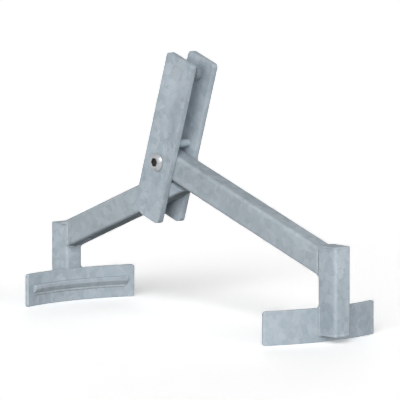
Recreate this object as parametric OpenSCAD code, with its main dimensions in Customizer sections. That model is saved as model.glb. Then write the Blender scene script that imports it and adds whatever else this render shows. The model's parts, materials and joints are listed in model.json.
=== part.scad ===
// Drum lifter: two-armed tongs that hang by their hook pin and grip a rolled rim from both sides.
// Millimetres. The origin is the middle of the hook pin, +X points to the swinging arm, +Z is up.

/* [Gripped rim] */
// Outside diameter of the rim
rim_d = 585; // [560:1:610]
// How far the rim stands out from the wall below it
rim_step = 6.5; // [4:0.5:9]
// Height of the rim's rolled seam
rim_h = 13; // [10:0.5:20]

/* [Shoes] */
// Height of each curved shoe
shoe_h = 50; // [44:1:70]
// Thickness of each shoe
shoe_t = 6; // [4:0.5:10]
// Arc that each shoe covers, in degrees
shoe_arc = 41; // [28:1:60]
// Radius of the shoe's corners
shoe_corner_r = 4; // [2:0.5:10]
// Radial play between the shoe and the rim
rim_play = 1.5; // [0.5:0.1:3]
// How far the shoe stands above the rim
shoe_above_rim = 3; // [0:0.5:8]
// How far the leg's foot stops above the lower edge of the shoe
foot_up = 10; // [4:0.5:16]

/* [Claws] */
// Angle by which the ledge stops short of each end of its shoe
claw_inset = 2.5; // [1:0.5:6]
// Height of the ledge at the shoe
claw_h = 15; // [10:0.5:20]
// Height of the ledge at its nose
claw_nose_h = 6; // [3:0.5:9]
// Radial play between the nose and the wall below the rim
wall_play = 1.5; // [0.5:0.1:3]
// Play under the rim's seam
seam_play = 1; // [0.5:0.1:3]

/* [Hollow sections] */
// Tall side of the tube
tube_h = 40; // [36:1:46]
// Narrow side of the tube
tube_w = 30; // [26:1:40]
// Wall of the tube
tube_wall = 3; // [2:0.5:4]
// Outside corner radius of the tube
tube_r = 5; // [4.5:0.5:7]
// Thickness of the caps that close the legs
cap_t = 4; // [2:0.5:6]
// Diameter of the drain holes in the arms and in the leg feet
drain_d = 10; // [6:0.5:12]
// Distance of an arm's drain hole from the leg
drain_off = 36; // [30:1:60]
// Gap of curved faces that are welded together
weld_gap = 0.1; // [0.05:0.05:0.3]

/* [Fork] */
// Width of the flat bar
plate_w = 60; // [56:1:72]
// Thickness of the flat bar
plate_t = 10; // [6:0.5:14]
// Corner radius at the top of the bar
plate_top_r = 6; // [2:0.5:14]
// Radius of the lower corner below the swinging arm
foot_right_r = 8; // [2:0.5:10]
// Radius of the lower corner below the fixed arm
foot_left_r = 25; // [6:0.5:30]
// Lean of the fork towards the swinging arm, in degrees
fork_lean = 18.5; // [14:0.5:22]
// Pivot to the top end of the fork
fork_up = 166; // [150:1:200]
// Pivot to the bottom end of the fork
fork_down = 89; // [84:1:110]
// Gap between each plate and the arms
side_play = 0.5; // [0.3:0.1:1]

/* [Cross pins] */
// Diameter of the pin that the lifter hangs by
hook_pin_d = 22; // [16:0.5:26]
// Hook pin to the top end of the fork
hook_pin_edge = 24; // [20:0.5:34]
// Diameter of the pin that stops the opening arm
stop_pin_d = 12; // [8:0.5:16]
// Place of the stop pin along the open arm, from the pivot
stop_pin_reach = 24; // [22:0.5:33]
// Radial gap of a welded pin or bush in its hole
pin_gap = 0.1; // [0.05:0.05:0.3]

/* [Arms] */
// Height of the pivot above the rim
pivot_above_rim = 186; // [175:1:215]
// Distance of the pivot from the rim's axis, away from the swinging arm
pivot_off = 60; // [50:1:70]
// Fall of the swinging arm, in degrees
right_slope = 18.2; // [15:0.2:21]
// Fall of the fixed arm, in degrees
left_slope = 21.2; // [18:0.2:24]
// Distance of the fixed arm's centre line from the pivot
left_drop = 34.5; // [33:0.5:40]
// Tail of the swinging arm behind the pivot
tail = 24; // [20:0.5:26]
// Height of the swinging leg's top above the arm's top face
right_leg_rise = 2.5; // [-4:0.5:10]
// Height of the fixed leg's top above the arm's top face, below zero where the arm laps over it
left_leg_rise = -7.5; // [-9:0.5:6]

/* [Travel] */
// Angle by which the arm can close from the gripping pose
close_angle = 4; // [1:0.5:6]
// Angle by which the arm can open from the gripping pose
open_angle = 23; // [12:0.5:24]
// Gap left at each stop
stop_gap = 0.4; // [0.3:0.1:1]
// Thickness of the plate on the fixed arm's end
stop_plate_t = 5; // [3:0.5:8]

/* [Pivot fasteners] */
// Diameter of the pivot bolt
bolt_d = 16; // [12:1:18]
// Diameter of the bolt's round head
bolt_head_d = 28; // [24:0.5:32]
// Height of the bolt's head
bolt_head_h = 6.2; // [5.4:0.2:9]
// Straight rim at the foot of the head
bolt_head_rim = 1.4; // [1:0.1:2]
// Flat at the top of the head
bolt_head_flat = 18; // [16:0.5:20]
// Width across flats of the hexagon socket
socket_af = 12; // [8:0.5:13]
// Depth of the hexagon socket
socket_depth = 4.6; // [3:0.2:5]
// Radial play of the bush on the bolt
bush_play = 0.05; // [0.02:0.01:0.08]
// Outside diameter of the bush
bush_d = 25; // [22:0.5:28]
// Play between each end of the bush and the fork
bush_end_play = 0.2; // [0.1:0.05:0.3]
// Outside diameter of the washer under the nut
washer_d = 30; // [28:0.5:36]
// Thickness of the washer under the nut
washer_t = 3; // [2:0.5:4]
// Radial play of plates, washer and nut on the bolt
hole_play = 0.2; // [0.1:0.05:0.5]
// Width across flats of the nut
nut_af = 24; // [22:0.5:28]
// Height of the nut's hexagon
nut_h = 11; // [8:0.5:14]
// Slope of the bevel on the nut's corners, in degrees
nut_bevel = 30; // [20:1:35]
// Height of the locking collar on the nut
collar_h = 5; // [3:0.5:6]
// Width of the flat ring around the nut's collar
collar_step = 1; // [0.5:0.1:2]
// Bolt end beyond the nut
bolt_end = 2.5; // [1:0.5:6]
// Bevel on the bolt's end
bolt_bevel = 1.5; // [0.5:0.1:2]

/* [Hidden] */
$fn = 96;
steel = "silver";
zinc = "gainsboro";
far = 1000;
sliver = 0.1;

// Fork
hook_pin_up = fork_up - hook_pin_edge;
gap_w = tube_w + 2 * side_play;
fork_w = gap_w + 2 * plate_t;
pivot_x = -hook_pin_up * sin(fork_lean);
pivot_z = -hook_pin_up * cos(fork_lean);

// Gripped rim
axis_x = pivot_x + pivot_off;
rim_z = pivot_z - pivot_above_rim;

// Shoes and claws
shoe_in_r = rim_d / 2 + rim_play;
shoe_out_r = shoe_in_r + shoe_t;
shoe_top_z = rim_z + shoe_above_rim;
shoe_bottom_z = shoe_top_z - shoe_h;
claw_in_r = rim_d / 2 - rim_step + wall_play;
claw_out_r = shoe_in_r - weld_gap;
claw_top_z = rim_z - rim_h - seam_play;
claw_arc = shoe_arc - 2 * claw_inset;

// Legs, measured from the rim's axis
foot_z = shoe_bottom_z + foot_up;
leg_in_x = shoe_in_r;
leg_out_x = leg_in_x + tube_h;
leg_x = leg_in_x + tube_h / 2;

// Arms, measured from the pivot to the legs' inner faces
right_span = leg_in_x + pivot_off;
left_span = leg_in_x - pivot_off;
right_mid_z = pivot_z - right_span * tan(right_slope);
left_mid_z = pivot_z - left_span * tan(left_slope) - left_drop / cos(left_slope);
right_top_z = right_mid_z + tube_h / 2 / cos(right_slope) + right_leg_rise;
left_top_z = left_mid_z + tube_h / 2 / cos(left_slope) + left_leg_rise;
right_reach = right_span / cos(right_slope);
left_reach = left_span / cos(left_slope) + left_drop * tan(left_slope);

// Stops, from the pivot
arm_face = tube_h / 2 + stop_gap;
stop_pin_rise = arm_face + stop_pin_d / 2;

// Pivot stack, from the middle of the fork
bush_l = gap_w - 2 * bush_end_play;
nut_y = fork_w / 2 + washer_t;
nut_corner_r = nut_af / 2 / cos(30);
nut_face_r = nut_af / 2 - collar_step / 2;
nut_bevel_h = (nut_corner_r - nut_face_r) * tan(nut_bevel);
bolt_tip_y = nut_y + nut_h + collar_h + bolt_end;

// Frames

module at_pivot() {
    translate([pivot_x, 0, pivot_z]) children();
}

module at_rim() {
    translate([axis_x, 0, 0]) children();
}

// Along the fork: local +Z runs up the fork from the pivot
module at_fork() {
    at_pivot() rotate([0, fork_lean, 0]) children();
}

// Along the swinging arm, opened by an angle: local +X runs down the arm from the pivot
module at_right_arm(opened = 0) {
    at_pivot() rotate([0, right_slope - opened, 0]) children();
}

// Along the fixed arm: local +X runs up the arm, from the foot of the pivot on its centre line
module at_left_arm() {
    at_pivot() rotate([0, -left_slope, 0]) translate([0, 0, -left_drop]) children();
}

module at_hook_pin() {
    at_fork() translate([0, 0, hook_pin_up]) children();
}

// The stop pin lies on the swinging arm's top face when the arm is open
module at_stop_pin() {
    at_right_arm(open_angle) translate([stop_pin_reach, 0, stop_pin_rise]) children();
}

// Legs, shoes and claws are drawn on the +X side of the rim's axis
module left_side() {
    color(steel) at_rim() rotate([0, 0, 180]) children();
}

module right_side() {
    color(steel) at_rim() children();
}

// Shapes that repeat

module rounded_rect(w, h, r) {
    square([w - 2 * r, h], center = true);
    square([w, h - 2 * r], center = true);
    for (x = [-1, 1], y = [-1, 1])
        translate([x * (w / 2 - r), y * (h / 2 - r)]) circle(r);
}

module tube_outline() {
    rounded_rect(tube_w, tube_h, tube_r);
}

module tube_section() {
    difference() {
        tube_outline();
        rounded_rect(tube_w - 2 * tube_wall, tube_h - 2 * tube_wall, tube_r - tube_wall);
    }
}

// What a corner radius takes away from a square corner at the origin
module corner_waste(r) {
    difference() {
        translate([-r, -r]) square(2 * r);
        translate([-r, -r]) circle(r);
        translate([-2 * r, -2 * r]) square([r, 4 * r]);
        translate([-2 * r, -2 * r]) square([4 * r, r]);
    }
}

module along_x(from, to) {
    translate([from, 0, 0]) rotate([90, 0, 90]) linear_extrude(to - from) children();
}

// A round bar or hole across the fork
module across(d, from, to) {
    translate([0, from, 0]) rotate([-90, 0, 0]) cylinder(d = d, h = to - from);
}

module sleeve(outer_d, inner_d, from, to) {
    difference() {
        across(outer_d, from, to);
        across(inner_d, from - sliver, to + sliver);
    }
}

// Everything above a height
module above(z) {
    translate([-far, -far, z]) cube(2 * far);
}

// A ring of the given section, cut to an arc about +X
module arc_ring(arc) {
    rotate([0, 0, -arc / 2]) rotate_extrude(angle = arc, $fn = 180) children();
}

// The room that a leg takes from the arm that meets it
module leg_room(top_z) {
    translate([leg_in_x, -far, top_z - 2 * far]) cube(2 * far);
    translate([leg_out_x, -far, -far]) cube(2 * far);
}

// Fork

module bar_outline() {
    difference() {
        translate([-plate_w / 2, -fork_down]) square([plate_w, fork_up + fork_down]);
        for (x = [-1, 1])
            scale([x, 1]) translate([plate_w / 2, fork_up]) corner_waste(plate_top_r);
        translate([plate_w / 2, -fork_down]) scale([1, -1]) corner_waste(foot_right_r);
        translate([-plate_w / 2, -fork_down]) scale([-1, -1]) corner_waste(foot_left_r);
    }
}

module fork_plate(from) {
    to = from + plate_t;
    color(steel) difference() {
        at_fork() translate([0, to, 0]) rotate([90, 0, 0]) linear_extrude(plate_t) bar_outline();
        at_hook_pin() across(hook_pin_d + 2 * pin_gap, from - sliver, to + sliver);
        at_stop_pin() across(stop_pin_d + 2 * pin_gap, from - sliver, to + sliver);
        at_pivot() across(bolt_d + 2 * hole_play, from - sliver, to + sliver);
    }
}

module fork_plate_front() {
    fork_plate(-fork_w / 2);
}

module fork_plate_rear() {
    fork_plate(gap_w / 2);
}

module hook_pin() {
    color(steel) at_hook_pin() across(hook_pin_d, -fork_w / 2, fork_w / 2);
}

module stop_pin() {
    color(steel) at_stop_pin() across(stop_pin_d, -fork_w / 2, fork_w / 2);
}

// Fixed arm: laps over its leg, and is mitred and relieved below the swinging arm

module left_arm_ends() {
    at_rim() rotate([0, 0, 180]) leg_room(left_top_z);
    at_right_arm(open_angle) above(-arm_face);
}

module left_arm_tube() {
    color(steel) difference() {
        at_left_arm() along_x(-left_reach - 2 * tube_h, 2 * tube_h) tube_section();
        left_arm_ends();
        at_right_arm(-close_angle) above(-arm_face - stop_plate_t);
        at_left_arm() translate([drain_off - left_reach, 0, -tube_h]) cylinder(d = drain_d, h = tube_h);
    }
}

module left_stop_plate() {
    color(steel) difference() {
        at_left_arm() along_x(-tube_h, 2 * tube_h) tube_outline();
        left_arm_ends();
        at_right_arm(-close_angle) above(-arm_face);
        at_right_arm(-close_angle) mirror([0, 0, 1]) above(arm_face + stop_plate_t);
    }
}

// Legs, shoes and claws

// An upright length of leg
module leg_length(from, to) {
    translate([leg_x, 0, from]) rotate([0, 0, 90]) linear_extrude(to - from) children();
}

// The round room that the shoe takes from the leg, up to the shoe's top edge
module shoe_room() {
    translate([0, 0, shoe_top_z - far]) cylinder(r = shoe_out_r + weld_gap, h = far, $fn = 180);
}

module leg_tube(top_z) {
    difference() {
        leg_length(foot_z + cap_t, top_z - cap_t) tube_section();
        shoe_room();
    }
}

module leg_cap(top_z) {
    leg_length(top_z - cap_t, top_z) tube_outline();
}

module leg_foot_cap() {
    difference() {
        leg_length(foot_z, foot_z + cap_t) tube_outline();
        shoe_room();
        translate([leg_x + shoe_t / 2, 0, foot_z - sliver]) cylinder(d = drain_d, h = far);
    }
}

module shoe() {
    difference() {
        arc_ring(shoe_arc) translate([shoe_in_r, shoe_bottom_z]) square([shoe_t, shoe_h]);
        for (end = [-1, 1], edge = [-1, 1])
            rotate([0, 0, end * shoe_arc / 2])
                along_x(shoe_in_r - shoe_t, shoe_out_r + shoe_t)
                    translate([0, shoe_bottom_z + (1 + edge) / 2 * shoe_h])
                        scale([end, edge]) corner_waste(shoe_corner_r);
    }
}

module claw() {
    arc_ring(claw_arc) translate([0, claw_top_z]) polygon([
        [claw_out_r, 0],
        [claw_in_r, 0],
        [claw_in_r, -claw_nose_h],
        [claw_out_r, -claw_h]
    ]);
}

module left_leg_tube() {
    left_side() leg_tube(left_top_z);
}

module left_leg_cap() {
    left_side() leg_cap(left_top_z);
}

module left_leg_foot_cap() {
    left_side() leg_foot_cap();
}

module left_shoe() {
    left_side() shoe();
}

module left_claw() {
    left_side() claw();
}

// Swinging arm: turns on its bush, and butts on its leg

module pivot_bush() {
    color(zinc) at_pivot() sleeve(bush_d, bolt_d + 2 * bush_play, -bush_l / 2, bush_l / 2);
}

module right_arm_tube() {
    color(steel) difference() {
        at_right_arm() along_x(-tail, right_reach + 2 * tube_h) tube_section();
        at_rim() leg_room(right_top_z);
        at_pivot() across(bush_d + 2 * pin_gap, -tube_w, tube_w);
        at_right_arm() translate([right_reach - drain_off, 0, -tube_h]) cylinder(d = drain_d, h = tube_h);
    }
}

module right_leg_tube() {
    right_side() leg_tube(right_top_z);
}

module right_leg_cap() {
    right_side() leg_cap(right_top_z);
}

module right_leg_foot_cap() {
    right_side() leg_foot_cap();
}

module right_shoe() {
    right_side() shoe();
}

module right_claw() {
    right_side() claw();
}

// Pivot

module bolt_head() {
    dome_h = bolt_head_h - bolt_head_rim;
    // Depth of the dome's centre below the rim, for an arc through the rim's edge and the flat's edge
    dome_drop = (pow(bolt_head_d / 2, 2) - pow(bolt_head_flat / 2, 2) - pow(dome_h, 2)) / (2 * dome_h);
    dome_r = norm([bolt_head_d / 2, dome_drop]);
    difference() {
        union() {
            cylinder(d = bolt_head_d, h = bolt_head_rim);
            intersection() {
                translate([0, 0, bolt_head_rim - dome_drop]) sphere(dome_r);
                translate([0, 0, bolt_head_rim]) cylinder(d = bolt_head_d, h = dome_h);
            }
        }
        translate([0, 0, bolt_head_h - socket_depth])
            cylinder(d = socket_af / cos(30), h = bolt_head_h, $fn = 6);
    }
}

module pivot_bolt() {
    color(zinc) at_pivot() {
        across(bolt_d, -fork_w / 2, bolt_tip_y - bolt_bevel);
        translate([0, bolt_tip_y - bolt_bevel, 0]) rotate([-90, 0, 0])
            cylinder(d1 = bolt_d, d2 = bolt_d - 2 * bolt_bevel, h = bolt_bevel);
        translate([0, -fork_w / 2, 0]) rotate([90, 0, 0]) bolt_head();
    }
}

module nut_washer() {
    color(zinc) at_pivot() sleeve(washer_d, bolt_d + 2 * hole_play, fork_w / 2, nut_y);
}

// A hexagon whose corners are turned off at both faces
module nut_hexagon() {
    intersection() {
        cylinder(r = nut_corner_r, h = nut_h, $fn = 6);
        rotate_extrude() polygon([
            [0, 0],
            [nut_face_r, 0],
            [nut_corner_r, nut_bevel_h],
            [nut_corner_r, nut_h - nut_bevel_h],
            [nut_face_r, nut_h],
            [0, nut_h]
        ]);
    }
}

module pivot_nut() {
    color(zinc) at_pivot() difference() {
        translate([0, nut_y, 0]) rotate([-90, 0, 0]) {
            nut_hexagon();
            cylinder(d = nut_af - 2 * collar_step, h = nut_h + collar_h);
        }
        across(bolt_d + 2 * hole_play, nut_y - sliver, bolt_tip_y);
    }
}

fork_plate_front();
fork_plate_rear();
hook_pin();
stop_pin();
pivot_bolt();
nut_washer();
pivot_nut();
left_arm_tube();
left_stop_plate();
left_leg_tube();
left_leg_cap();
left_leg_foot_cap();
left_shoe();
left_claw();
pivot_bush();
right_arm_tube();
right_leg_tube();
right_leg_cap();
right_leg_foot_cap();
right_shoe();
right_claw();
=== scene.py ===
import json
from math import cos, radians, sin, sqrt, tan

import bmesh
import bpy
from mathutils import Matrix, Vector

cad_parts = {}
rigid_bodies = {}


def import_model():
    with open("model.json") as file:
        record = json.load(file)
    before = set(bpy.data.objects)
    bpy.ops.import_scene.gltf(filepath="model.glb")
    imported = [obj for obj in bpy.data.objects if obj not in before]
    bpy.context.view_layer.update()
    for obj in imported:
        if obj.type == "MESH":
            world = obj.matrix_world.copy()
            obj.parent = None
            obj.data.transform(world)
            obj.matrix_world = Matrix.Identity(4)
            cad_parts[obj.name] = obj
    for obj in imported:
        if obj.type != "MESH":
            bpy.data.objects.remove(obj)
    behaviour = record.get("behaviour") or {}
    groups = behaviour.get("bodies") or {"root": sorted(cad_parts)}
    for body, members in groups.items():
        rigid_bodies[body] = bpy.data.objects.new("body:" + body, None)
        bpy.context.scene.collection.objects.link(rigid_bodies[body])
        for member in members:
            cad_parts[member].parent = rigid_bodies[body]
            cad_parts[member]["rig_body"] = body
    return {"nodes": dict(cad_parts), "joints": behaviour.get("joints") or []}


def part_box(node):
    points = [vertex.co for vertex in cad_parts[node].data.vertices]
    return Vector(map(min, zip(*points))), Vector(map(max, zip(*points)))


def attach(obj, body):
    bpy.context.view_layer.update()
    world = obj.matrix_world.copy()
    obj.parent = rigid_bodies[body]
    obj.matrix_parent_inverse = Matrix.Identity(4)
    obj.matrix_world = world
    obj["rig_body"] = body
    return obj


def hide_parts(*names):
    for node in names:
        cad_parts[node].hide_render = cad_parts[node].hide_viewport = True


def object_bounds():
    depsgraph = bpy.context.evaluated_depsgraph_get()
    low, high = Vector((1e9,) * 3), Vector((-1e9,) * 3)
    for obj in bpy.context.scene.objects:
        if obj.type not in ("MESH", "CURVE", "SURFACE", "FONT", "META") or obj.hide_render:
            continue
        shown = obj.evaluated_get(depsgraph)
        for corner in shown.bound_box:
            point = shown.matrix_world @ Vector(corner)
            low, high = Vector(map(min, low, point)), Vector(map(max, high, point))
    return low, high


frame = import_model()
cad_low, cad_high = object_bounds()

# Sizes of the lifter, in metres and radians
TUBE_TALL, TUBE_CORNER = 0.040, 0.005
FORK_WIDE = 0.060
FORK_LEAN = radians(18.5)
RIGHT_SLOPE, LEFT_SLOPE = radians(18.2), radians(21.2)
LEFT_ARM_DROP = 0.0345
SHOE_THICK = 0.006
CLAW_HALF_ARC = radians(18)
SOCKET_R = 0.0072

# Sizes and places that the frame gives
PIVOT = Vector(frame["joints"][0]["pos_m"])
TUBE_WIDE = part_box("right_arm_tube")[1].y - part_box("right_arm_tube")[0].y
FORK_FRONT_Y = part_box("fork_plate_front")[0].y
RIGHT_FACE_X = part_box("right_leg_tube")[0].x
LEFT_FACE_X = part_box("left_leg_tube")[1].x
LEFT_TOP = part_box("left_leg_cap")[1].z
SHOE_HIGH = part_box("right_shoe")[1].z
CLAW_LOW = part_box("right_claw")[0].z
FOOT_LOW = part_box("right_leg_foot_cap")[0].z

# The shoes curve about an upright axis midway between the legs, whose inner faces are flush with the shoes
GRIP_X = (RIGHT_FACE_X + LEFT_FACE_X) / 2
SHOE_IN_R = (RIGHT_FACE_X - LEFT_FACE_X) / 2
SHOE_OUT_R = SHOE_IN_R + SHOE_THICK
SIDES = (("left", -1, "fork"), ("right", 1, "right_arm"))

# Directions of the arms and the fork, and the middle of the left arm below the pivot
RIGHT_ALONG = Vector((cos(RIGHT_SLOPE), 0, -sin(RIGHT_SLOPE)))
LEFT_ALONG = Vector((cos(LEFT_SLOPE), 0, sin(LEFT_SLOPE)))
LEFT_UP = Vector((-sin(LEFT_SLOPE), 0, cos(LEFT_SLOPE)))
FORK_UP = Vector((sin(FORK_LEAN), 0, cos(FORK_LEAN)))
FORK_RIGHT = Vector((cos(FORK_LEAN), 0, -sin(FORK_LEAN)))
LEFT_START = PIVOT - LEFT_UP * LEFT_ARM_DROP

# Eased edges
PLATE_EDGE, TUBE_EDGE, FASTENER_EDGE = 0.0010, 0.0005, 0.0006
EDGE_STEPS = 2
SHARP, FLAT = radians(28), radians(0.5)
SAME_POINT = 1e-6

# Weld beads: radii, length of a ripple, and shares of the radius where a bead is thin
BEAD, THIN_BEAD = 0.0026, 0.0020
BEAD_SIDES = 10
RIPPLE = 0.0022
RIPPLE_THIN = 0.86
END_THIN, END_GAIN = 0.45, 0.3
SAME_RING = 1e-5

# Beads: how far the middle lies off the faces that it joins, how far it stops short of an edge, and the
# shares of the left arm's underside that stay bare and of a claw's arc that is welded
ARM_BEAD_OFF, FOOT_BEAD_OFF, FORK_BEAD_OFF = 0.0008, 0.0003, 0.0005
LAP_STOP, SHOE_TOP_STOP = 0.006, 0.001
UNDER_ARM_SHARE, CLAW_SHARE = 0.2, 0.97
CLAW_STEPS = 24
ARM_BEAD_Y = TUBE_WIDE / 2 - ARM_BEAD_OFF
TUBE_FLAT_Y = TUBE_WIDE / 2 - TUBE_CORNER

# Zinc: patterns per metre, from the largest to the finest, and the shades of its crystals
CLOUDS, CRYSTALS, WANDERS, FEATHERS, GRAINS = 14, 105, 240, 380, 420
WANDER_SHARE = 0.005
ZINC_DULL, ZINC_SMOOTH, ZINC_METALLIC = 0.68, 0.5, 0.12
EDGE_GLOSS = 0.12
PLATE_SHADES = ((0.365, 0.425, 0.475), (0.41, 0.47, 0.52), (0.465, 0.52, 0.565))
TUBE_SHADES = ((0.355, 0.41, 0.45), (0.395, 0.45, 0.49), (0.44, 0.495, 0.53))
# Eased edges: a lighter zinc that is partly rubbed wear and partly a painted highlight along every edge
WORN_AND_HIGHLIT_EDGE_SHADES = ((0.43, 0.48, 0.52), (0.46, 0.51, 0.55), (0.49, 0.54, 0.575))

# Other metals: a dark and a light shade
PIN_SHADES = ((0.30, 0.30, 0.31), (0.42, 0.47, 0.515))
WELD_SHADES = ((0.34, 0.38, 0.41), (0.44, 0.48, 0.51))
PLATED_SHADES = ((0.40, 0.415, 0.43), (0.48, 0.49, 0.50))
# The bolt's socket: near-black painted shade, standing for the shade deep in the recess
PAINTED_SOCKET_SHADES = ((0.02, 0.02, 0.02), (0.05, 0.05, 0.05))
TURNED_SHADES = ((0.34, 0.34, 0.34), (0.42, 0.42, 0.42))
PIN_FADE_PER_METRE = 60

# Studio: light from all round by the sine of its height, and the floor as it is lit and as it is seen
EYE_LEVEL_LIGHT, OVERHEAD_SHARE = 1.8, 0.02
EYE_LEVEL_TOP, OVERHEAD_START = 0.15, 0.45
FLOOR_BOUNCE, SEEN_FLOOR, FLOOR_LIFT = 0.08, 1.64, 0.05
FLOOR_HALF = 40

# Camera: its place and aim, from the middle of the grip at the hook pin's height, and its lens
CAMERA_AZIMUTH, CAMERA_DISTANCE, CAMERA_HEIGHT = radians(50.8), 7.4, 0.6193
AIM_SIDE, AIM_HEIGHT = 0.006, -0.188
LENS, SENSOR = 452, 36
FAR_CLIP = 200


# Finishes

def node_material(name):
    """A new material, with its node tree and its shader."""
    material = bpy.data.materials.new(name)
    material.use_nodes = True
    tree = material.node_tree
    return material, tree, tree.nodes["Principled BSDF"]


def add_node(tree, kind, **sockets):
    """A new node, with the sockets that are named set to their values."""
    node = tree.nodes.new(kind)
    for socket, value in sockets.items():
        node.inputs[socket].default_value = value
    return node


def add_math(tree, operation, first, second=None):
    """A calculation on one or two outputs."""
    node = tree.nodes.new("ShaderNodeMath")
    node.operation = operation
    tree.links.new(first, node.inputs[0])
    if second is not None:
        tree.links.new(second, node.inputs[1])
    return node.outputs["Value"]


def object_place(tree):
    """The place on the lifter, in metres."""
    return tree.nodes.new("ShaderNodeTexCoord").outputs["Object"]


def pattern(tree, kind, place, **sockets):
    """A node that is read at a place, such as a texture."""
    node = add_node(tree, kind, **sockets)
    tree.links.new(place, node.inputs["Vector"])
    return node


def grey(level):
    """A colour with its three parts alike."""
    return (level, level, level)


def shade_ramp(tree, source, stops):
    """Colours along a value: each stop is a place from 0 to 1 and its colour."""
    ramp = tree.nodes.new("ShaderNodeValToRGB")
    ramp.color_ramp.elements[0].position = stops[0][0]
    ramp.color_ramp.elements[0].color = (*stops[0][1], 1)
    ramp.color_ramp.elements[1].position = stops[-1][0]
    ramp.color_ramp.elements[1].color = (*stops[-1][1], 1)
    for place, colour in stops[1:-1]:
        ramp.color_ramp.elements.new(place).color = (*colour, 1)
    tree.links.new(source, ramp.inputs["Fac"])
    return ramp.outputs["Color"]


def multiply(tree, first, second):
    """The product of two colours."""
    mix = add_node(tree, "ShaderNodeMix", Factor=1)
    mix.data_type = "RGBA"
    mix.blend_type = "MULTIPLY"
    tree.links.new(first, mix.inputs["A"])
    tree.links.new(second, mix.inputs["B"])
    return mix.outputs["Result"]


def wandering_place(tree, place):
    """A place that is pushed about a little, so that crystals don't have straight sides."""
    wander = pattern(tree, "ShaderNodeTexNoise", place, Scale=WANDERS, Detail=2)
    bend = add_node(tree, "ShaderNodeMix", Factor=WANDER_SHARE)
    bend.data_type = "VECTOR"
    tree.links.new(place, bend.inputs["A"])
    tree.links.new(wander.outputs["Color"], bend.inputs["B"])
    return bend.outputs["Result"]


def galvanised_steel(name, crystal_shades, gloss=0):
    """Hot-dipped zinc: crystals of slightly different greys and gloss, feathered and clouded by weather."""
    material, tree, surface = node_material(name)
    place = object_place(tree)
    bent_place = wandering_place(tree, place)
    crystal = pattern(tree, "ShaderNodeTexVoronoi", bent_place, Scale=CRYSTALS)
    chance = tree.nodes.new("ShaderNodeSeparateColor")
    tree.links.new(crystal.outputs["Color"], chance.inputs["Color"])
    dark, middle, light = crystal_shades
    crystals = shade_ramp(tree, chance.outputs["Red"], [(0, dark), (0.5, middle), (1, light)])
    feather = pattern(tree, "ShaderNodeTexVoronoi", bent_place, Scale=FEATHERS)
    feathers = shade_ramp(tree, feather.outputs["Distance"], [(0, grey(1.03)), (0.9, grey(0.95))])
    cloud = pattern(tree, "ShaderNodeTexNoise", place, Scale=CLOUDS, Detail=4, Roughness=0.6)
    clouds = shade_ramp(tree, cloud.outputs["Fac"], [(0.3, grey(0.91)), (0.7, grey(1.04))])
    mottled = multiply(tree, multiply(tree, crystals, feathers), clouds)
    tree.links.new(mottled, surface.inputs["Base Color"])
    roughness = [(0, grey(ZINC_DULL - gloss)), (1, grey(ZINC_SMOOTH - gloss))]
    tree.links.new(shade_ramp(tree, chance.outputs["Green"], roughness), surface.inputs["Roughness"])
    surface.inputs["Metallic"].default_value = ZINC_METALLIC + gloss
    surface.inputs["Specular IOR Level"].default_value = 0
    grain = pattern(tree, "ShaderNodeTexNoise", place, Scale=GRAINS, Detail=3)
    bump = add_node(tree, "ShaderNodeBump", Strength=0.08, Distance=0.0005)
    tree.links.new(grain.outputs["Fac"], bump.inputs["Height"])
    tree.links.new(bump.outputs["Normal"], surface.inputs["Normal"])
    return material


def rubbed_pin():
    """The hook pin: zinc at both ends, rubbed to smooth bare steel in the middle, where it bears."""
    material, tree, surface = node_material("rubbed_pin")
    place = object_place(tree)
    axes = pattern(tree, "ShaderNodeSeparateXYZ", place)
    ragged = pattern(tree, "ShaderNodeTexNoise", place, Scale=300, Detail=4)
    off_middle = add_math(tree, "ABSOLUTE", axes.outputs["Y"])
    fade = tree.nodes.new("ShaderNodeMath")
    fade.operation = "MULTIPLY_ADD"
    fade.inputs[1].default_value = PIN_FADE_PER_METRE
    tree.links.new(off_middle, fade.inputs[0])
    tree.links.new(ragged.outputs["Fac"], fade.inputs[2])
    bare, zinc = PIN_SHADES
    tone = shade_ramp(tree, fade.outputs["Value"], [(0.8, bare), (1, zinc)])
    tree.links.new(tone, surface.inputs["Base Color"])
    smooth = shade_ramp(tree, fade.outputs["Value"], [(0.8, grey(0.25)), (1, grey(0.5))])
    tree.links.new(smooth, surface.inputs["Roughness"])
    surface.inputs["Metallic"].default_value = 0.6
    return material


def mottled_metal(name, shades, ramp_ends, patches, detail, metallic, roughness):
    """A metal that drifts in patches from a dark to a light shade."""
    material, tree, surface = node_material(name)
    patch = pattern(tree, "ShaderNodeTexNoise", object_place(tree), Scale=patches, Detail=detail)
    tone = shade_ramp(tree, patch.outputs["Fac"], list(zip(ramp_ends, shades)))
    tree.links.new(tone, surface.inputs["Base Color"])
    surface.inputs["Metallic"].default_value = metallic
    surface.inputs["Roughness"].default_value = roughness
    return material


def weld_metal():
    """A bead under the same zinc, a little darker and shinier than the plates."""
    return mottled_metal("weld_metal", WELD_SHADES, ramp_ends=(0.3, 0.7), patches=160, detail=3,
                         metallic=0.35, roughness=0.55)


def bright_zinc():
    """Plated fasteners, smoother than the dipped steel."""
    return mottled_metal("bright_zinc", PLATED_SHADES, ramp_ends=(0.3, 0.7), patches=60, detail=3,
                         metallic=0.85, roughness=0.36)


def painted_shade_socket():
    """The bolt's socket, painted near black as the shade deep in its recess."""
    return mottled_metal("painted_shade_socket", PAINTED_SOCKET_SHADES, ramp_ends=(0.35, 0.7), patches=500, detail=2,
                         metallic=0.3, roughness=0.5)


def turned_steel():
    """The bush: bare steel with fine turning marks round its axis."""
    material, tree, surface = node_material("turned_steel")
    marks = pattern(tree, "ShaderNodeTexWave", object_place(tree), Scale=260, Distortion=0.4)
    marks.bands_direction = "Y"
    tone = shade_ramp(tree, marks.outputs["Fac"], list(zip((0.2, 0.8), TURNED_SHADES)))
    tree.links.new(tone, surface.inputs["Base Color"])
    surface.inputs["Metallic"].default_value = 0.95
    surface.inputs["Roughness"].default_value = 0.35
    return material


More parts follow.
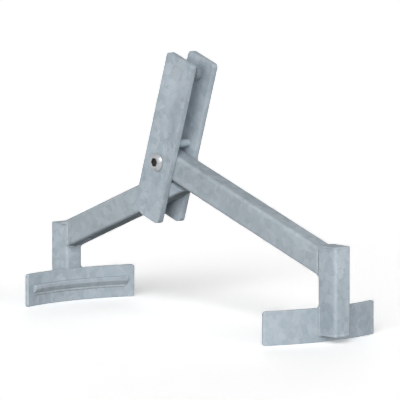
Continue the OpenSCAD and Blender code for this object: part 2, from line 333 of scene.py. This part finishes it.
PLATE_ZINC = galvanised_steel("galvanised_plate", PLATE_SHADES)
TUBE_ZINC = galvanised_steel("galvanised_tube", TUBE_SHADES)
# The eased edges' lighter zinc: rubbed wear, and a painted highlight along each edge
WORN_AND_HIGHLIT_EDGE_ZINC = galvanised_steel("rubbed_and_highlit_edge", WORN_AND_HIGHLIT_EDGE_SHADES, gloss=EDGE_GLOSS)
RUBBED_PIN = rubbed_pin()
WELD = weld_metal()
PLATED = bright_zinc()
# Painted shade for the socket's recess
SOCKET = painted_shade_socket()
TURNED = turned_steel()


# Pieces

def finish_piece(name, shape, materials, body):
    """Make the bmesh a piece that rides on a body."""
    bmesh.ops.recalc_face_normals(shape, faces=shape.faces)
    mesh = bpy.data.meshes.new(name)
    shape.to_mesh(mesh)
    shape.free()
    mesh.shade_smooth()
    mesh.set_sharp_from_angle(angle=SHARP)
    for material in materials:
        mesh.materials.append(material)
    piece = bpy.data.objects.new(name, mesh)
    bpy.context.scene.collection.objects.link(piece)
    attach(piece, body)
    return piece


def eased(node, edge, finish, edge_finish):
    """A copy of a node with its sharp edges eased, in place of the node."""
    solid = frame["nodes"][node]
    shape = bmesh.new()
    shape.from_mesh(solid.data)
    bmesh.ops.remove_doubles(shape, verts=shape.verts, dist=SAME_POINT)
    bmesh.ops.dissolve_limit(shape, angle_limit=FLAT, verts=shape.verts, edges=shape.edges)
    sharp = [e for e in shape.edges if len(e.link_faces) == 2 and e.calc_face_angle() > SHARP]
    rounded = bmesh.ops.bevel(shape, geom=sharp, offset=edge, segments=EDGE_STEPS, profile=0.5,
                              affect="EDGES", clamp_overlap=True, material=-1)
    for face in shape.faces:
        face.material_index = 0
    for face in rounded["faces"]:
        face.material_index = 1
    piece = finish_piece(node + "_eased", shape, [finish, edge_finish], solid["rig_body"])
    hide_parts(node)
    return piece


def dress_steel():
    """Dipped zinc on the plates, the tubes and their caps, and the pins."""
    for node in ("fork_plate_front", "fork_plate_rear", "left_stop_plate", "left_shoe", "right_shoe",
                 "left_claw", "right_claw"):
        eased(node, PLATE_EDGE, PLATE_ZINC, WORN_AND_HIGHLIT_EDGE_ZINC)
    for node in ("left_leg_tube", "right_leg_tube", "left_leg_cap", "right_leg_cap", "left_leg_foot_cap",
                 "right_leg_foot_cap", "stop_pin"):
        eased(node, TUBE_EDGE, PLATE_ZINC, WORN_AND_HIGHLIT_EDGE_ZINC)
    for node in ("left_arm_tube", "right_arm_tube"):
        eased(node, TUBE_EDGE, TUBE_ZINC, WORN_AND_HIGHLIT_EDGE_ZINC)
    eased("hook_pin", TUBE_EDGE, RUBBED_PIN, RUBBED_PIN)


def in_socket(corners):
    """Whether a face of the bolt lies in the head's hexagon socket."""
    off_axis = [Vector((c.x - PIVOT.x, c.z - PIVOT.z)).length for c in corners]
    return max(off_axis) < SOCKET_R and max(c.y for c in corners) < FORK_FRONT_Y


def dress_fasteners():
    """Bright zinc on the bolt, its nut and washer, painted shade in the bolt's socket, and a turned bush.
    """
    for node in ("pivot_nut", "nut_washer"):
        eased(node, FASTENER_EDGE, PLATED, PLATED)
    bolt = eased("pivot_bolt", FASTENER_EDGE, PLATED, SOCKET)
    # Faces inside the socket take the near-black painted shade
    for face in bolt.data.polygons:
        face.material_index = 1 if in_socket([bolt.data.vertices[v].co for v in face.vertices]) else 0
    eased("pivot_bush", TUBE_EDGE, TURNED, TURNED)


# Welds

def stations(path, closed):
    """Points about half a ripple apart along a path of corner points."""
    corners = list(path) + ([path[0]] if closed else [])
    points = []
    for a, b in zip(corners, corners[1:]):
        count = max(1, round((b - a).length / (RIPPLE / 2)))
        points += [a.lerp(b, i / count) for i in range(count)]
    return points + [corners[-1]]


def swell(station, last, closed):
    """Share of a bead's radius at a station: every other one is full, and open ends taper."""
    share = 1 if station % 2 and station < last else RIPPLE_THIN
    if closed:
        return share
    from_end = min(station, last - station)
    return share * min(1, END_THIN + END_GAIN * from_end)


def weld_bead(name, path, radius, body, closed=False):
    """A rippled bead along a path: a ring that is drawn on from station to station."""
    points = stations([Vector(p) for p in path], closed)
    last = len(points) - 1
    shape = bmesh.new()
    turn = previous = ahead = None
    for i, point in enumerate(points):
        behind, ahead = ahead, (points[min(i + 1, last)] - points[max(i - 1, 0)]).normalized()
        turn = behind.rotation_difference(ahead) @ turn if behind else ahead.to_track_quat("Z", "Y")
        size = Matrix.Scale(radius * swell(i, last, closed), 4)
        here = Matrix.Translation(point) @ turn.to_matrix().to_4x4() @ size
        if previous is None:
            bmesh.ops.create_circle(shape, segments=BEAD_SIDES, radius=1, matrix=here)
            ring = shape.edges[:]
        else:
            grown = bmesh.ops.extrude_edge_only(shape, edges=ring)["geom"]
            ring = [g for g in grown if isinstance(g, bmesh.types.BMEdge) and g.is_boundary]
            corners = [g for g in grown if isinstance(g, bmesh.types.BMVert)]
            bmesh.ops.transform(shape, matrix=here @ previous.inverted(), verts=corners)
        previous = here
    if closed:
        bmesh.ops.remove_doubles(shape, verts=shape.verts, dist=SAME_RING)
    else:
        bmesh.ops.holes_fill(shape, edges=shape.edges)
    finish_piece(name, shape, [WELD], body)


def arm_height(x, along, start):
    """Height of an arm's centre line at a place along X."""
    return start.z + (x - start.x) * along.z / along.x


def weld_right_arm():
    """Round the arm where it butts on its leg."""
    x = RIGHT_FACE_X - ARM_BEAD_OFF
    middle = arm_height(x, RIGHT_ALONG, PIVOT)
    half = TUBE_TALL / 2 / cos(RIGHT_SLOPE)
    low, high = middle - half, middle + half
    low_corner, high_corner = low + TUBE_CORNER, high - TUBE_CORNER
    outline = ((0, high), (TUBE_FLAT_Y, high), (ARM_BEAD_Y, high_corner), (ARM_BEAD_Y, low_corner),
               (TUBE_FLAT_Y, low), (-TUBE_FLAT_Y, low), (-ARM_BEAD_Y, low_corner),
               (-ARM_BEAD_Y, high_corner), (-TUBE_FLAT_Y, high))
    weld_bead("right_arm_weld", [(x, y, z) for y, z in outline], BEAD, "right_arm", closed=True)


def weld_left_arm():
    """Up both sides of the arm, back over the leg's cap, and across the tip where the arm laps the cap."""
    x = LEFT_FACE_X + ARM_BEAD_OFF
    half = TUBE_TALL / 2 / cos(LEFT_SLOPE)
    low = arm_height(x, LEFT_ALONG, LEFT_START) - half
    above_cap = arm_height(LEFT_FACE_X, LEFT_ALONG, LEFT_START) + half - LEFT_TOP
    tip_x = LEFT_FACE_X - above_cap / tan(LEFT_SLOPE)
    for name, way in (("front", -1), ("rear", 1)):
        flat_y, side_y = way * TUBE_FLAT_Y, way * ARM_BEAD_Y
        path = [(x, flat_y * UNDER_ARM_SHARE, low), (x, flat_y, low), (x, side_y, low + TUBE_CORNER),
                (x, side_y, LEFT_TOP), (tip_x + LAP_STOP, side_y, LEFT_TOP)]
        weld_bead("left_arm_weld_" + name, path, BEAD, "fork")
    across = [(tip_x, -TUBE_FLAT_Y, LEFT_TOP), (tip_x, TUBE_FLAT_Y, LEFT_TOP)]
    weld_bead("left_lap_weld", across, THIN_BEAD, "fork")


def weld_shoes():
    """Round each leg's foot on its shoe, and in over the shoe's top edge."""
    y = TUBE_WIDE / 2 + FOOT_BEAD_OFF
    out = sqrt(SHOE_OUT_R ** 2 - y ** 2) + FOOT_BEAD_OFF
    inside = SHOE_IN_R + SHOE_TOP_STOP
    outline = ((inside, -y, SHOE_HIGH), (out, -y, SHOE_HIGH), (out, -y, FOOT_LOW),
               (out, y, FOOT_LOW), (out, y, SHOE_HIGH), (inside, y, SHOE_HIGH))
    for side, way, body in SIDES:
        path = [(GRIP_X + way * r, across, z) for r, across, z in outline]
        weld_bead(side + "_shoe_weld", path, BEAD, body)


def weld_claws():
    """Under each claw, along the shoe."""
    reach = CLAW_HALF_ARC * CLAW_SHARE
    angles = [reach * (2 * i / CLAW_STEPS - 1) for i in range(CLAW_STEPS + 1)]
    for side, way, body in SIDES:
        path = [(GRIP_X + way * SHOE_IN_R * cos(a), SHOE_IN_R * sin(a), CLAW_LOW) for a in angles]
        weld_bead(side + "_claw_weld", path, THIN_BEAD, body)


def weld_fork():
    """Down the left edge of each plate, where the left arm enters the fork."""
    edge = PIVOT - FORK_RIGHT * FORK_WIDE / 2
    flat_half = TUBE_TALL / 2 - TUBE_CORNER
    for name, way in (("front", -1), ("rear", 1)):
        y = way * (TUBE_WIDE / 2 + FORK_BEAD_OFF)
        ends = []
        for off in (flat_half, -flat_half):
            up = (off - (edge - LEFT_START).dot(LEFT_UP)) / FORK_UP.dot(LEFT_UP)
            ends.append(edge + FORK_UP * up + Vector((0, y, 0)))
        weld_bead("fork_edge_weld_" + name, ends, BEAD, "fork")


# Studio

def seen_directly(tree):
    """1 for what the camera sees straight, in metal or through glass, and 0 for what only lights."""
    path = tree.nodes.new("ShaderNodeLightPath")
    mirrored = add_math(tree, "MAXIMUM", path.outputs["Is Glossy Ray"], path.outputs["Is Transmission Ray"])
    return add_math(tree, "MAXIMUM", path.outputs["Is Camera Ray"], mirrored)


def choose(tree, lit, seen, output):
    """Send one shader to the light and the other to the eye."""
    mix = tree.nodes.new("ShaderNodeMixShader")
    tree.links.new(seen_directly(tree), mix.inputs["Fac"])
    tree.links.new(lit, mix.inputs[1])
    tree.links.new(seen, mix.inputs[2])
    tree.links.new(mix.outputs["Shader"], output)


def studio_world():
    """Soft light from all round, strong near eye level and weak overhead, in front of plain white."""
    world = bpy.data.worlds.new("studio")
    bpy.context.scene.world = world
    world.use_nodes = True
    tree = world.node_tree
    lit = tree.nodes["Background"]
    lit.inputs["Strength"].default_value = EYE_LEVEL_LIGHT
    axes = pattern(tree, "ShaderNodeSeparateXYZ", tree.nodes.new("ShaderNodeTexCoord").outputs["Generated"])
    stops = [(EYE_LEVEL_TOP, grey(1)), (OVERHEAD_START, grey(OVERHEAD_SHARE))]
    tree.links.new(shade_ramp(tree, axes.outputs["Z"], stops), lit.inputs["Color"])
    white = add_node(tree, "ShaderNodeBackground", Color=(1, 1, 1, 1), Strength=1)
    choose(tree, lit.outputs["Background"], white.outputs["Background"],
           tree.nodes["World Output"].inputs["Surface"])


def soft_light(name, towards, strength, spread, shines=False):
    """A broad light from far off, the same all over; only one that shines is mirrored in metal."""
    light = bpy.data.lights.new(name, "SUN")
    light.energy = strength
    light.angle = radians(spread)
    lamp = bpy.data.objects.new(name, light)
    lamp.visible_glossy = shines
    lamp.rotation_euler = (-Vector(towards)).to_track_quat("-Z", "Y").to_euler()
    bpy.context.scene.collection.objects.link(lamp)


def floor_white():
    """A floor that looks white where it is seen and keeps its shadows, but throws little light back up."""
    material, tree, surface = node_material("floor_white")
    surface.inputs["Base Color"].default_value = (*grey(FLOOR_BOUNCE), 1)
    surface.inputs["Roughness"].default_value = 0.9
    surface.inputs["Specular IOR Level"].default_value = 0
    pale = add_node(tree, "ShaderNodeBsdfDiffuse", Color=(*grey(SEEN_FLOOR), 1))
    lift = add_node(tree, "ShaderNodeEmission", Color=(1, 1, 1, 1), Strength=FLOOR_LIFT)
    lifted = tree.nodes.new("ShaderNodeAddShader")
    tree.links.new(pale.outputs["BSDF"], lifted.inputs[0])
    tree.links.new(lift.outputs["Emission"], lifted.inputs[1])
    choose(tree, surface.outputs["BSDF"], lifted.outputs["Shader"],
           tree.nodes["Material Output"].inputs["Surface"])
    return material


def studio_floor():
    """A wide floor at the level of the shoes' lower edges."""
    shape = bmesh.new()
    level = Matrix.Translation((0, 0, cad_low.z))
    bmesh.ops.create_grid(shape, x_segments=1, y_segments=1, size=FLOOR_HALF, matrix=level)
    mesh = bpy.data.meshes.new("studio_floor")
    shape.to_mesh(mesh)
    shape.free()
    mesh.materials.append(floor_white())
    floor = bpy.data.objects.new("studio_floor", mesh)
    bpy.context.scene.collection.objects.link(floor)


def photo_camera():
    """The photograph's viewpoint, with a lens that fills the frame with the lifter."""
    camera = bpy.data.objects.new("camera", bpy.data.cameras.new("camera"))
    across = Vector((cos(CAMERA_AZIMUTH), sin(CAMERA_AZIMUTH), 0))
    towards = Vector((sin(CAMERA_AZIMUTH), -cos(CAMERA_AZIMUTH), 0))
    centre = Vector((GRIP_X, 0, 0))
    camera.location = centre + towards * CAMERA_DISTANCE + Vector((0, 0, CAMERA_HEIGHT))
    aim = centre + across * AIM_SIDE + Vector((0, 0, AIM_HEIGHT))
    camera.rotation_euler = (aim - camera.location).to_track_quat("-Z", "Y").to_euler()
    camera.data.sensor_width = SENSOR
    camera.data.lens = LENS
    camera.data.clip_end = FAR_CLIP
    bpy.context.scene.collection.objects.link(camera)
    bpy.context.scene.camera = camera


dress_steel()
dress_fasteners()
weld_right_arm()
weld_left_arm()
weld_shoes()
weld_claws()
weld_fork()

studio_world()
soft_light("key", towards=(0.63, -0.57, 0.53), strength=1.2, spread=22, shines=True)
soft_light("front_fill", towards=(0.52, -0.84, 0.17), strength=1.6, spread=30)
soft_light("side_fill", towards=(0.99, 0.09, 0.14), strength=0.7, spread=30)
soft_light("back_fill", towards=(-0.75, 0.64, 0.17), strength=1.2, spread=30)
studio_floor()
photo_camera()
bpy.context.scene.view_settings.view_transform = "Standard"
